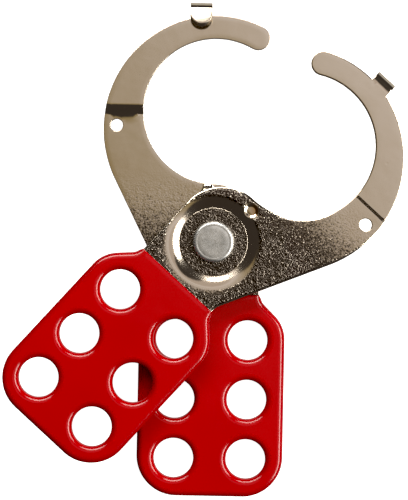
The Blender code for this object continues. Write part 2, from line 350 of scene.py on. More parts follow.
def plate_outline():
    """The flat blank's edge, counter-clockwise from the jaw's tip, with the hook unfolded."""
    top_centre = polar(BACK_CENTRE, BACK_RADIUS - TOP_RADIUS, TOP_MEETS_BACK)
    tip_centre = polar(JAW_CENTRE, JAW_RADIUS + JAW_TIP_RADIUS, JAW_TIP_BEARING)
    tip_start = JAW_TIP_BEARING - 180.0
    tip_end = np.degrees(np.arctan2(tip_centre[1] - top_centre[1], tip_centre[0] - top_centre[0]))
    hook_sides = [HOOK_X + HOOK_HALF_WIDTH, HOOK_X - HOOK_HALF_WIDTH]
    root = [float(np.degrees(np.arccos((x - top_centre[0]) / TOP_RADIUS))) for x in hook_sides]
    hook_end = (HOOK_X, HOOK_FOLD_Y + sum(length for length, turn in hook_bends()))
    neck_start = polar(BACK_CENTRE, BACK_RADIUS, NECK_BEARING)
    neck_run = -NECK_HALF_WIDTH - neck_start[0]
    neck_corner_y = neck_start[1] + neck_run * tan(radians(NECK_BEARING + 90.0))
    hub_centre = (0.0, JAW_CENTRE[1] - JAW_RADIUS - HUB_RADIUS)
    hub_start = polar(hub_centre, HUB_RADIUS, 0.0)
    neck = [(*neck_start, 0), (-NECK_HALF_WIDTH, neck_corner_y, NECK_BEND_RADIUS)]
    outline = refined(
        np.concatenate(
            [
                arc(tip_centre, JAW_TIP_RADIUS, tip_start, tip_end),
                arc(top_centre, TOP_RADIUS, tip_end, root[0])[1:],
                arc(hook_end, HOOK_HALF_WIDTH, 0.0, 180.0),
                arc(top_centre, TOP_RADIUS, root[1], TOP_MEETS_BACK),
                arc(BACK_CENTRE, BACK_RADIUS, TOP_MEETS_BACK, NECK_BEARING)[1:],
                rounded(neck + handle_corners(NECK_HALF_WIDTH, COATING) + [(*hub_start, 0)]),
                arc(hub_centre, HUB_RADIUS, 0.0, 90.0),
                arc(JAW_CENTRE, JAW_RADIUS, 270.0, JAW_TIP_BEARING)[1:-1],
            ]
        )
    )
    x, y = outline.T
    joggle_start = JOGGLE_OUTER_BENDS[0] - PLAIN_MARGIN
    joggle_end = JOGGLE_INNER_BENDS[3] + PLAIN_MARGIN
    joggled = (x < 0) & (y > joggle_start) & (y < joggle_end)
    return refined(outline, np.where(joggled, FINE_EDGE_SPACING, EDGE_SPACING))


def ramp(value, low, high):
    """0 below low, 1 above high, and a smooth S between them."""
    share = np.clip((value - low) / (high - low), 0, 1)
    return share * share * (3 - 2 * share)


def slope_fall(distance, bends):
    """Share of a pressing's height left at each distance across it, from 1 to 0.

    The slope grows over the first bend, holds, and dies away over the second, so its running total is smooth.
    """
    across = np.linspace(bends[0], bends[3], 241)
    total = np.cumsum(np.interp(across, bends, (0, 1, 1, 0)))
    return 1 - np.interp(distance, across, total / total[-1])


def folded(along):
    """Where the hook's middle layer is, this far along from the fold: Y, Z and heading.

    On a bend the heading grows evenly, so Y and Z follow the circle's sine and cosine.
    """
    y = np.zeros_like(along)
    z = np.zeros_like(along)
    heading = np.zeros_like(along)
    left = along
    for length, turn in hook_bends()[:-1] + [(np.inf, 0.0)]:
        run = np.clip(left, 0, length)
        left = left - run
        rate = radians(turn) / length if turn else 0.0
        turned = heading + run * rate
        if turn:
            y = y + (np.sin(turned) - np.sin(heading)) / rate
            z = z + (np.cos(heading) - np.cos(turned)) / rate
        else:
            y = y + run * np.cos(heading)
            z = z + run * np.sin(heading)
        heading = turned
    return y, z, heading


def pressed(blank):
    """The blank's points on the finished plate: raised by the pressings, then carried round the fold."""
    x, y, depth = blank.T
    from_pivot = np.hypot(x, y)
    from_stop = np.hypot(x - STOP_CENTRE[0], y - STOP_CENTRE[1])
    rise = STEP * slope_fall(from_pivot, DISH_BENDS)
    outward = ramp(-depth, INNER_FACE_DEPTH, SHEET / 2)
    inner_joggle = 1 - slope_fall(y, JOGGLE_INNER_BENDS)
    outer_joggle = 1 - slope_fall(y, JOGGLE_OUTER_BENDS)
    rise += STEP * (inner_joggle + (outer_joggle - inner_joggle) * outward)
    rise += STOP_HEIGHT * (1 - STOP_RECESS_FILL * outward) * slope_fall(from_stop, STOP_BENDS)
    off_ring = np.clip(np.abs(from_pivot - RING_RADIUS) / RING_HALF_WIDTH, 0, 1)
    rise -= RING_HEIGHT * (1 + np.cos(pi * off_ring)) / 2 * outward
    hook_y, hook_z, heading = folded(np.maximum(y - HOOK_FOLD_Y, 0))
    from_middle = depth + SHEET / 2
    bent_y = np.minimum(y, HOOK_FOLD_Y) + hook_y - from_middle * np.sin(heading)
    bent_z = rise - SHEET / 2 + hook_z + from_middle * np.cos(heading)
    return np.stack([x, bent_y, bent_z], axis=1)


def clear_of(spots, line, distance):
    """The spots that are at least this far from every point of the line."""
    keep = [
        np.linalg.norm(part[:, None] - line[None], axis=2).min(axis=1) >= distance
        for part in np.array_split(spots, 1 + len(spots) // 500)
    ]
    return spots[np.concatenate(keep)]


def grid(low, high, step):
    """Points of a net between two corners, with this step in X and in Y."""
    x = np.arange(low[0], high[0], step[0])
    y = np.arange(low[1], high[1], step[1])
    return np.stack(np.meshgrid(x, y), axis=-1).reshape(-1, 2)


def rings(centre, low, high, spacing, around):
    """Points on circles round a centre, with this spacing between the circles."""
    radii = np.arange(low, high, spacing)[:, None]
    angles = 2 * pi * np.arange(around) / around
    points = np.stack([centre[0] + radii * np.cos(angles), centre[1] + radii * np.sin(angles)], axis=-1)
    return points.reshape(-1, 2)


def filled(outline, holes, spots):
    """Triangles over the outline but not its holes, through the spots inside it."""
    lines = [outline] + list(holes)
    points = np.concatenate(lines + [spots])
    ends = np.cumsum([len(line) for line in lines])
    after = np.arange(ends[-1]) + 1
    after[ends - 1] = ends - [len(line) for line in lines]
    edges = np.stack([np.arange(ends[-1]), after], axis=1)
    flat, _, triangles, *_ = delaunay_2d_cdt(
        points.tolist(), edges.tolist(), [list(range(len(outline)))], 1, 1e-6
    )
    flat = np.array([tuple(point) for point in flat])
    triangles = np.array([tuple(triangle) for triangle in triangles])
    middles = flat[triangles].mean(axis=1)
    for hole in holes:
        centre = hole.mean(axis=0)
        radius = np.hypot(*(hole[0] - centre))
        outside = np.hypot(*(middles - centre).T) > radius * cos(pi / len(hole))
        triangles = triangles[outside]
        middles = middles[outside]
    used, order = np.unique(triangles, return_inverse=True)
    return flat[used], order.reshape(triangles.shape)


def quads_between(columns, rows, first=0, closed=True):
    """Quads of a grid whose points run across the columns, then down the rows."""
    here = np.arange(columns if closed else columns - 1)
    after = (here + 1) % columns
    starts = first + columns * np.arange(rows - 1)[:, None]
    below = starts + columns
    return np.stack([starts + here, starts + after, below + after, below + here], axis=-1).reshape(-1, 4)


def carried(line, profile, closed=True, other=None, share=0.0):
    """The profile (inset, height) carried along the line: point + inset * left, at its height.

    The profile turns into the other one by the share that each point of the line gives.
    """
    left = leftward(line, closed)
    other = profile if other is None else other
    shape = profile[:, None] + (other - profile)[:, None] * np.broadcast_to(share, len(line))[None, :, None]
    spots = line[None] + shape[:, :, :1] * left[None]
    points = np.concatenate([spots, shape[:, :, 1:]], axis=2).reshape(-1, 3)
    return points, quads_between(len(line), len(profile), closed=closed)


def quarter(width, depth, facets):
    """A quarter of an ellipse as (distance in from the side, distance down from the face)."""
    angles = np.linspace(0, pi / 2, facets + 1)
    return np.stack([width * (1 - np.sin(angles)), depth * (1 - np.cos(angles))], axis=1)


def edge_profile(high, low, high_round, low_round, inset, facets=6):
    """From the high face round the edge to the low face, as (inset, height); each round is (width, depth)."""
    top = quarter(*high_round, facets)
    bottom = quarter(*low_round, facets)[::-1]
    return np.concatenate(
        [
            [(inset, high)],
            np.stack([top[:, 0], high - top[:, 1]], axis=1),
            np.stack([bottom[:, 0], low + bottom[:, 1]], axis=1),
            [(inset, low)],
        ]
    )


class Parts:
    """Points and faces gathered for one mesh."""

    def __init__(self):
        self.points = []
        self.faces = []
        self.count = 0

    def add(self, points, faces):
        self.faces += (np.asarray(faces) + self.count).tolist()
        self.points.append(points)
        self.count += len(points)

    def mesh(self, name, place=None):
        """The merged, closed mesh in metres, faces outward and shaded smooth."""
        points = np.concatenate(self.points)
        points = points if place is None else place(points)
        mesh = bpy.data.meshes.new(name)
        mesh.from_pydata((points * MM).tolist(), [], self.faces)
        shaped = bmesh.new()
        shaped.from_mesh(mesh)
        bmesh.ops.remove_doubles(shaped, verts=shaped.verts, dist=MERGE_DISTANCE)
        bmesh.ops.recalc_face_normals(shaped, faces=shaped.faces)
        shaped.to_mesh(mesh)
        shaped.free()
        mesh.shade_smooth()
        return mesh


def positions(mesh):
    """The mesh's points as an array in millimetres."""
    found = np.empty(len(mesh.vertices) * 3)
    mesh.vertices.foreach_get("co", found)
    return found.reshape(-1, 3) / MM


def mark(mesh, name, values):
    """Stores one number per point, for the materials to read."""
    mesh.attributes.new(name, "FLOAT", "POINT").data.foreach_set("value", values.astype(np.float32))


def plate_spots(outline):
    """Points for the plate's net: close together on the pressings and the hook, wide apart elsewhere."""
    stop_end = STOP_BENDS[3] + STOP_MARGIN
    stop = rings(STOP_CENTRE, 0.0, stop_end, STOP_SPACING, STOP_FACETS)[STOP_FACETS - 1 :]
    dish_start = DISH_BENDS[0] - FEATURE_MARGIN
    dish_end = DISH_BENDS[3] + FEATURE_MARGIN
    dish = rings((0, 0), dish_start, dish_end, FEATURE_SPACING, ROUND_FACETS)
    dish = dish[np.abs(np.hypot(*dish.T) - RING_RADIUS) > RING_HALF_WIDTH + 0.1]
    ring_start = RING_RADIUS - RING_HALF_WIDTH
    ring_end = RING_RADIUS + RING_HALF_WIDTH + 0.01
    ring = rings((0, 0), ring_start, ring_end, RING_SPACING, 2 * ROUND_FACETS)
    stop_edge = rings(STOP_CENTRE, stop_end, stop_end + 0.1, 1, STOP_FACETS)
    dish = clear_of(np.concatenate([dish, ring]), stop_edge, 0.1)
    dish = dish[np.hypot(*(dish - STOP_CENTRE).T) > stop_end]
    joggle_start = JOGGLE_OUTER_BENDS[0] - JOGGLE_MARGIN
    joggle_end = JOGGLE_INNER_BENDS[3] + FEATURE_MARGIN
    joggle = grid((JOGGLE_X[0], joggle_start), (JOGGLE_X[1], joggle_end), JOGGLE_SPACING)
    hook_low = (HOOK_X - HOOK_HALF_WIDTH, HOOK_FOLD_Y - FEATURE_MARGIN)
    hook_high = (HOOK_X - HOOK_HALF_WIDTH + 2 * HOOK_HALF_WIDTH, HOOK_FOLD_Y + HOOK_REACH)
    hook = grid(hook_low, hook_high, HOOK_SPACING)
    plain = grid(outline.min(axis=0), outline.max(axis=0), (NET_SPACING, NET_SPACING))
    from_pivot = np.hypot(*plain.T)
    plain = plain[(from_pivot < DISH_BENDS[0] - PLAIN_MARGIN) | (from_pivot > DISH_BENDS[3] + PLAIN_MARGIN)]
    plain = plain[(plain[:, 1] < joggle_start - PLAIN_MARGIN) | (plain[:, 1] > joggle_end + PLAIN_MARGIN)]
    plain = plain[plain[:, 1] < HOOK_FOLD_Y - PLAIN_MARGIN]
    return np.concatenate([stop, dish, joggle, hook, plain])


def plate_mesh(inner_radius, rolled):
    """The plate: a net over both faces, and an edge profile carried round the outline and each hole."""
    outline = plate_outline()
    rivet_hole = circle((0, 0), SHANK_RADIUS + SHANK_CLEARANCE)
    seal_hole = circle(SEAL_HOLE_CENTRE, SEAL_HOLE_RADIUS, SEAL_HOLE_SPACING)
    holes = [rivet_hole, seal_hole] + lock_holes(LOCK_HOLE_RADIUS + COATING)
    crisp = (inner_radius, inner_radius)
    net = outline + NET_INSET * leftward(outline)
    net_holes = [hole + HOLE_INSET * leftward(hole) for hole in holes]
    spots = plate_spots(outline)
    for line in [net] + net_holes:
        spots = clear_of(spots, line, NET_CLEARANCE)
    flat, triangles = filled(net, net_holes, spots)
    parts = Parts()
    wide = edge_profile(0.0, -SHEET, crisp, rolled, NET_INSET, EDGE_FACETS)
    narrow = edge_profile(0.0, -SHEET, crisp, [JAW_ROLL * size for size in rolled], NET_INSET, EDGE_FACETS)
    parts.add(*carried(outline, wide, True, narrow, ramp(outline[:, 1], *ROLL_FADES)))
    for hole in holes:
        parts.add(*carried(hole, edge_profile(0.0, -SHEET, crisp, crisp, HOLE_INSET)))
    for height in (0.0, -SHEET):
        parts.add(np.column_stack([flat, np.full(len(flat), height)]), triangles)
    mesh = parts.mesh("jaw_plate", pressed)
    mark_plate(mesh)
    return mesh


def outward_share(mesh):
    """How far each point's face looks away from the other plate, from -1 to 1."""
    normals = np.empty(len(mesh.vertices) * 3)
    mesh.vertices.foreach_get("normal", normals)
    return -normals[2::3]


def mark_plate(mesh):
    """Where the plating is coarse, and where a warm reflection is painted on the far wall of the stop's
    recess.

    The die burnishes its slopes and rolled edges smooth, and the dish's bend more on the handle's side.
    """
    x, y = positions(mesh)[:, :2].T
    facing = outward_share(mesh)
    outside = facing > 0
    from_pivot = np.hypot(x, y)
    stop_x = x - STOP_CENTRE[0]
    stop_y = y - STOP_CENTRE[1]
    from_stop = np.hypot(stop_x, stop_y)
    inner_smooth = INNER_LEAST_SMOOTH + (1 - INNER_LEAST_SMOOTH) * ramp(y, *INNER_SMOOTHS)
    smooth = np.where(outside, ramp(y, *OUTER_SMOOTHS), inner_smooth)
    bend_end = POLISH_ENDS - POLISH_LEAN * y / np.maximum(from_pivot, 1)
    past_bend = ramp(from_pivot, bend_end - POLISH_FADE, bend_end + POLISH_FADE)
    polished = ramp(from_pivot, *POLISH_STARTS) * (1 - past_bend) * outside
    polished = np.maximum(polished, ramp(-facing, *POLISH_TILTS) * outside)
    coarse = (1 - smooth) * (1 - POLISH_SHARE * polished)
    coarse *= ramp(from_stop, *STOP_COARSE_STARTS)
    mark(mesh, "coarse", coarse)
    # Painted reflection: a warm reflection is painted on the far wall of the stop's recess, on the outer face
    # only
    reflecting_side = ramp(REFLECTING_SIDE_BEARING[1] * stop_y + REFLECTING_SIDE_BEARING[0] * stop_x, *REFLECTING_SIDE_STARTS)
    mark(mesh, "rim_reflection", reflecting_side * (1 - ramp(from_stop, *RIM_REFLECTION_ENDS)) * outside)


def coating_side(parts, mouth_y, neck, under, grown, level, edge, rim):
    """Adds one surface of the skin, this far under the outer one, and gives the loop round its mouth."""
    path = rounded([(-neck, mouth_y, 0)] + handle_corners(neck - grown, under) + [(neck, mouth_y, 0)])
    path = np.concatenate([[(-neck + grown, mouth_y)], path, [(neck - grown, mouth_y)]])
    path = refined(path, COATING_SPACING, closed=False)
    path = path - grown * leftward(path, closed=False)
    holes = [hole - grown * leftward(hole) for hole in lock_holes(LOCK_HOLE_RADIUS + under)]
    profile, rim_profile = [
        edge_profile(level, -level, (size, size), (size, size), size + COATING_NET_INSET, COATING_FACETS)
        for size in (edge, rim)
    ]
    points, quads = carried(path, profile, closed=False)
    parts.add(points, quads)
    for hole in holes:
        parts.add(*carried(hole, rim_profile))
    ends = points.reshape(len(profile), len(path), 3)
    share = np.linspace(0, 1, MOUTH_FACETS + 1)[:, None]
    across = ends[0, -1, :2] + share * (ends[0, 0, :2] - ends[0, -1, :2])
    net = np.concatenate([ends[0, :, :2], across[1:-1]])
    net_holes = [hole + (rim + COATING_NET_INSET) * leftward(hole) for hole in holes]
    spots = grid(net.min(axis=0), net.max(axis=0), (COATING_NET_SPACING, COATING_NET_SPACING))
    for line in [net] + net_holes:
        spots = clear_of(spots, line, COATING_NET_CLEARANCE)
    flat, triangles = filled(net, net_holes, spots)
    for height in (level, -level):
        parts.add(np.column_stack([flat, np.full(len(flat), height)]), triangles)
    top = np.column_stack([across[::-1], np.full(len(across), level)])
    bottom = np.column_stack([across, np.full(len(across), -level)])
    return np.concatenate([top[:-1], ends[:-1, -1], bottom[:-1], ends[::-1][:-1, 0]])


def coating_mesh(edge_radius, rim_radius, lip_radius):
    """The dipped skin: an outer and a pocket surface, joined by a half-round lip at the mouth."""
    mouth_y = COATING_TOP_Y - lip_radius
    pocket_neck = NECK_HALF_WIDTH + POCKET_ROOM
    pocket_level = SHEET / 2 + POCKET_ROOM
    sides = (
        (COATING_NECK_HALF_WIDTH, 0.0, 0.0, HANDLE_THICKNESS / 2, edge_radius, rim_radius),
        (pocket_neck, COATING, POCKET_ROOM, pocket_level, POCKET_ROUND, POCKET_ROUND),
    )
    parts = Parts()
    outer, pocket = [coating_side(parts, mouth_y, *side) for side in sides]
    turn = np.linspace(0, pi, LIP_FACETS + 1)[:, None, None]
    lip = outer[None] + (1 - np.cos(turn)) / 2 * (pocket - outer)[None]
    lip = lip + np.array((0, lip_radius, 0)) * np.sin(turn)
    parts.add(lip.reshape(-1, 3), quads_between(len(outer), len(turn)))

    def placed(points):
        """Draws the mouth's two corners in, and puts the skin round the steel's middle layer."""
        x, y, z = points.T
        kept = NECK_HALF_WIDTH + 2 * POCKET_ROOM
        drawn = ramp(y, mouth_y - MOUTH_TAPER, mouth_y + lip_radius) ** 2
        beyond = np.maximum(np.abs(x) - kept, 0) * (y > mouth_y - MOUTH_TAPER)
        return np.stack([x - np.sign(x) * beyond * drawn, y, z - SHEET / 2], axis=1)

    return parts.mesh("handle_coating", placed)


def rivet_mesh(chamfer):
    """The rivet: one profile of radius against height turned right round, both heads alike."""
    face = HEAD_RADIUS - chamfer
    end = RIVET_HALF
    under = RIVET_HALF - HEAD_HEIGHT
    foot_x = HEAD_RADIUS - HEAD_FOOT_CHAMFER
    groove_x = face - 2 * GROOVE_HALF_WIDTH
    dimple = [(0, end - DIMPLE_DEPTH), (DIMPLE_RADIUS / 2, end - DIMPLE_DEPTH / 2), (DIMPLE_RADIUS, end)]
    groove_sides = (groove_x - GROOVE_HALF_WIDTH, groove_x + GROOVE_HALF_WIDTH)
    groove = [(groove_sides[0], end), (groove_x, end - GROOVE_DEPTH), (groove_sides[1], end)]
    bend = np.radians(np.linspace(0, 90, 9))
    out = np.sin(bend) ** CHAMFER_BULGE
    down = (1 - np.cos(bend)) ** CHAMFER_BULGE
    shoulder = np.stack([face + chamfer * out, end - chamfer * down], axis=1)
    foot = [(HEAD_RADIUS, under + HEAD_FOOT_CHAMFER), (foot_x, under), (SHANK_RADIUS, under)]
    half = np.concatenate([dimple, groove, shoulder, foot])
    profile = np.concatenate([half, half[::-1] * (1, -1)])
    angles = -2 * pi * np.arange(ROUND_FACETS) / ROUND_FACETS
    spots = profile[:, 0][:, None, None] * np.stack([np.cos(angles), np.sin(angles)], axis=1)[None]
    heights = np.broadcast_to(profile[:, 1][:, None, None], spots.shape[:2] + (1,))
    points = np.concatenate([spots, heights], axis=2).reshape(-1, 3)
    parts = Parts()
    parts.add(points, quads_between(ROUND_FACETS, len(profile)))
    return parts.mesh("rivet")


class Value:
    """A shader value: sums and products of values add the Math nodes that work them out."""

    def __init__(self, shading, socket):
        self.shading = shading
        self.socket = socket

    def worked(self, operation, first, second):
        sockets = {"Value": first, "Value_001": second}
        return self.shading.node("ShaderNodeMath", "Value", sockets, operation=operation)

    def __add__(self, other):
        return self.worked("ADD", self, other)

    def __sub__(self, other):
        return self.worked("SUBTRACT", self, other)

    def __rsub__(self, other):
        return self.worked("SUBTRACT", other, self)

    def __mul__(self, other):
        return self.worked("MULTIPLY", self, other)

    __radd__ = __add__
    __rmul__ = __mul__


class Shading:
    """A node tree that is built by calls instead of by hand."""

    def __init__(self, owner):
        owner.use_nodes = True
        self.tree = owner.node_tree

    def node(self, kind, output, sockets, **settings):
        """A new node with its settings, its sockets filled with numbers or links; gives one output."""
        made = self.tree.nodes.new(kind)
        for name, setting in settings.items():
            setattr(made, name, setting)
        self.fill(made, sockets)
        outputs = {socket.identifier: socket for socket in made.outputs}
        return Value(self, outputs[output])

    def fill(self, made, sockets):
        inputs = {socket.identifier: socket for socket in made.inputs}
        for name, value in sockets.items():
            if isinstance(value, Value):
                self.tree.links.new(value.socket, inputs[name])
            else:
                inputs[name].default_value = value

    def place(self):
        """Object coordinates in metres."""
        return self.node("ShaderNodeTexCoord", "Object", {})

    def noise(self, scale, detail=2.0, roughness=0.5):
        sockets = {"Vector": self.place(), "Scale": scale, "Detail": detail, "Roughness": roughness}
        return self.node("ShaderNodeTexNoise", "Fac", sockets)

    def cells(self, scale):
        """Distance to the nearest of many scattered points, in cell sizes."""
        sockets = {"Vector": self.place(), "Scale": scale, "Randomness": 1.0}
        return self.node("ShaderNodeTexVoronoi", "Distance", sockets)

    def marked(self, name):
        return self.node("ShaderNodeAttribute", "Fac", {}, attribute_name=name)

    def dot(self, first, second):
        sockets = {"Vector": first, "Vector_001": second}
        return self.node("ShaderNodeVectorMath", "Value", sockets, operation="DOT_PRODUCT")

    def size(self, value):
        return self.node("ShaderNodeMath", "Value", {"Value": value}, operation="ABSOLUTE")

    def between(self, value, low, high):
        """An S from 0 to 1 as the value goes from low to high."""
        sockets = {"Value": value, "From Min": low, "From Max": high, "To Min": 0.0, "To Max": 1.0}
        return self.node("ShaderNodeMapRange", "Result", sockets, interpolation_type="SMOOTHSTEP")

    def mixed(self, share, first, last):
        sockets = {"Factor_Float": share, "A_Color": first, "B_Color": last}
        return self.node("ShaderNodeMix", "Result_Color", sockets, data_type="RGBA")

    def bumped(self, height, depth):
        return self.node("ShaderNodeBump", "Normal", {"Height": height, "Distance": depth, "Strength": 1.0})


def principled(name, **sockets):
    """A new material and its shading, with these numbers on the shader's own sockets."""
    made = bpy.data.materials.new(name)
    shading = Shading(made)
    shader = shading.tree.nodes["Principled BSDF"]
    shading.fill(shader, sockets)
    return made, shading, shader


def nickel_material(settings):
    """Bright nickel over pressed steel: smooth on the jaws, pebbled and darkened towards the handle by
    painted shade between the pebbles, with a painted warm reflection in the stop's recess.
    """
    made, shading, shader = principled("nickel_plate", Metallic=1.0)
    coarse = shading.marked("coarse")
    grain = shading.noise(1.0 / settings.grain_size, detail=1.5, roughness=0.6)
    speck = shading.noise(SPECK_FINENESS / settings.grain_size, detail=1.0)
    swell = shading.noise(SWELL_FINENESS / settings.grain_size, detail=1.0)
    ripple = shading.noise(RIPPLE_FINENESS / settings.grain_size, detail=2.0)
    pits = shading.between(shading.cells(PIT_FINENESS / settings.grain_size), 0.03, 0.06)
    height = (grain + swell * 0.8) * coarse * (1.0 + coarse) + ripple * 0.3 + pits * 0.04
    # Painted shade: the pebbles are real bumps, but where this share is low (mostly towards the hub, where
    # the plating is coarse) the base colour turns to the dark valley colour, which stands for the dark
    # surroundings that rough plating reflects.
    unshaded_share = shading.between(grain * 4.2 + speck * 1.6 - coarse * 2.35 - 0.9, 0.0, 1.0) * (1.0 - coarse * 0.3)
    stain = shading.between(shading.noise(STAIN_SCALE, detail=3.0), 0.42, 0.68)
    tone = shading.mixed(stain * 0.3, (*settings.nickel, 1.0), (*settings.nickel_stain, 1.0))
    # Painted shade: the dark valley colour goes wherever the unshaded share is low.
    tone = shading.mixed(unshaded_share, (*settings.painted_valley_shade, 1.0), tone)
    # Painted reflection: the warm reflection on the far wall of the stop's recess is painted into the base
    # colour here
    tone = shading.mixed(shading.marked("rim_reflection"), tone, (*settings.rim_reflection_tint, 1.0))
    roughness = coarse * 0.08 + swell * 0.04 + 0.08
    shading.fill(
        shader,
        {"Base Color": tone, "Roughness": roughness, "Normal": shading.bumped(height, settings.grain_depth)},
    )
    return made


def vinyl_material(settings):
    """Dipped vinyl: a deep even colour under a wet gloss, very slightly wavy."""
    made, shading, shader = principled("red_vinyl")
    wave = shading.noise(VINYL_WAVE_SCALE, detail=1.0)
    skin = shading.noise(VINYL_SKIN_SCALE, detail=2.0)
    blotch = shading.between(shading.noise(VINYL_BLOTCH_SCALE, detail=2.0), 0.3, 0.7)
    tone = shading.mixed(blotch, (*settings.vinyl, 1.0), (*settings.vinyl_deep, 1.0))
    shading.fill(
        shader,
        {
            "Base Color": tone,
            "Roughness": wave * 0.06 + settings.gloss,
            "IOR": VINYL_IOR,
            "Normal": shading.bumped(wave + skin * 0.02, VINYL_WAVE_HEIGHT),
        },
    )
    return made


def zinc_material(settings):
    """Zinc-plated rivet steel: fine, dull and mottled."""
    made, shading, shader = principled("zinc_rivet", Metallic=1.0)
    mottle = shading.noise(ZINC_MOTTLE_SCALE, detail=4.0, roughness=0.6)
    cloud = shading.between(shading.noise(ZINC_CLOUD_SCALE, detail=3.0), 0.35, 0.7)
    tone = shading.mixed(cloud, (*settings.zinc, 1.0), (*settings.zinc_dull, 1.0))
    shading.fill(
        shader,
        {
            "Base Color": tone,
            "Roughness": mottle * 0.2 + 0.28,
            "Normal": shading.bumped(mottle, ZINC_MOTTLE_HEIGHT),
        },
    )
    return made


def add_piece(name, mesh, finish, body, node, matrix):
    """A finished piece in its place, standing for its CAD node."""
    shaped = mesh.copy()
    shaped.name = name
    shaped.transform(matrix)
    shaped.materials.append(finish)
    piece = bpy.data.objects.new(name, shaped)
    bpy.context.scene.collection.objects.link(piece)
    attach(piece, body)
    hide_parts(node)


def arm_places():
    """Where the stamping's frame goes for the rear arm and, turned over and opened, for the front arm."""
    middle = Matrix.Translation((0, 0, MIDDLE_Z * MM))
    back = Matrix.Translation((0, 0, -PLATE_GAP / 2 * MM))
    ahead = Matrix.Translation((0, 0, PLATE_GAP / 2 * MM))
    opened = Matrix.Rotation(-radians(OPEN_ANGLE), 4, "Z")
    turned = Matrix.Rotation(pi, 4, "Y")
    return {"rear": middle @ back, "front": middle @ opened @ ahead @ turned}


class PlateSettings(bpy.types.PropertyGroup):
    inner_edge: FloatProperty(
        name="Inner edge",
        description="Radius on the edges of the face that touches the other plate",
        default=0.00012,
        unit="LENGTH",
    )
    roll_width: FloatProperty(
        name="Roll width",
        description="How far in from its edges the die rolls the outer face down",
        default=0.0012,
        unit="LENGTH",
    )
    roll_depth: FloatProperty(
        name="Roll depth",
        description="How far down the rolled edges go",
        default=0.00036,
        unit="LENGTH",
    )
    grain_size: FloatProperty(
        name="Grain size",
        description="Width of one pebble in the coarse plating",
        default=0.00037,
        unit="LENGTH",
    )
    grain_depth: FloatProperty(
        name="Grain depth",
        description="Height of the coarsest pebbles",
        default=0.0001,
        unit="LENGTH",
    )
    nickel: FloatVectorProperty(
        name="Nickel",
        description="Colour of the plating",
        default=(0.76, 0.69, 0.58),
        subtype="COLOR",
    )
    nickel_stain: FloatVectorProperty(
        name="Stain",
        description="Colour of the plating where it has browned",
        default=(0.70, 0.61, 0.48),
        subtype="COLOR",
    )
    # Painted shade: this colour is dark reflection painted into the plating between the pebbles. It is not a
    # colour of the nickel itself.
    painted_valley_shade: FloatVectorProperty(
        name="Valley",
        description="Colour of the plating between the pebbles",
        default=(0.13, 0.115, 0.1),
        subtype="COLOR",
    )
    # Painted reflection: this is the colour of the warm reflection painted on the far wall of the stop's
    # recess, not an undercoat
    rim_reflection_tint: FloatVectorProperty(
        name="Copper",
        description="Colour of the undercoat that shows where the plating is thin",
        default=(0.55, 0.36, 0.2),
        subtype="COLOR",
    )


class CoatingSettings(bpy.types.PropertyGroup):
    edge_radius: FloatProperty(
        name="Edge radius",
        description="Roundness of the handle's outer edge",
        default=0.0015,
        unit="LENGTH",
    )
    rim_radius: FloatProperty(
        name="Rim radius",
        description="Roundness of the lock holes' rims",
        default=0.0016,
        unit="LENGTH",
    )
    lip_radius: FloatProperty(
        name="Lip radius",
        description="Roundness of the skin's end where the steel goes in",
        default=0.0003,
        unit="LENGTH",
    )
    gloss: FloatProperty(
        name="Gloss",
        description="Roughness of the vinyl's surface",
        default=0.16,
        min=0.0,
        max=1.0,
        subtype="FACTOR",
    )
    vinyl: FloatVectorProperty(
        name="Vinyl",
        description="Colour of the skin",
        default=(0.375, 0.0, 0.004),
        subtype="COLOR",
    )
    vinyl_deep: FloatVectorProperty(
        name="Deep vinyl",
        description="Colour of the skin where it lies thicker",
        default=(0.345, 0.0, 0.004),
        subtype="COLOR",
    )


class RivetSettings(bpy.types.PropertyGroup):
    chamfer: FloatProperty(
        name="Chamfer",
        description="Width of the sloped band round each head",
        default=0.0009,
        unit="LENGTH",
    )
    zinc: FloatVectorProperty(
        name="Zinc",
        description="Colour of the rivet",
        default=(0.72, 0.74, 0.74),
        subtype="COLOR",
    )
    zinc_dull: FloatVectorProperty(
        name="Dull zinc",
        description="Colour of the rivet's darker clouds",
        default=(0.5, 0.52, 0.52),
        subtype="COLOR",
    )


class StageSettings(bpy.types.PropertyGroup):
    camera_height: FloatProperty(
        name="Camera height",
        description="Distance from the camera to the plates",
        default=0.6,
        unit="LENGTH",
    )
    view_height: FloatProperty(
        name="View height",
        description="Length of what the camera sees, along the image's long side",
        default=0.1309,
        unit="LENGTH",
    )
    side_light: FloatProperty(
        name="Side light",
        description="Power of the soft light on the right",
        default=10.4,
        unit="POWER",
    )
    top_light: FloatProperty(
        name="Top lights",
        description="Power of each of the two soft lights past the jaws",
        default=4.4,
        unit="POWER",
    )
    floor: FloatVectorProperty(
        name="Floor",
        description="Colour of the floor",
        default=(1.0, 1.0, 1.0),
        subtype="COLOR",
    )


class HASP_OT_jaw_plates(bpy.types.Operator):
    """Makes both steel jaw plates"""

    bl_idname = "hasp.jaw_plates"
    bl_label = "Jaw plates"

    def execute(self, context):
        settings = context.scene.hasp_plate
        mesh = plate_mesh(settings.inner_edge / MM, (settings.roll_width / MM, settings.roll_depth / MM))
        finish = nickel_material(settings)
        for side, matrix in arm_places().items():
            add_piece(f"{side}_plate", mesh, finish, f"{side}_arm", f"{side}_jaw_plate", matrix)
        return {"FINISHED"}


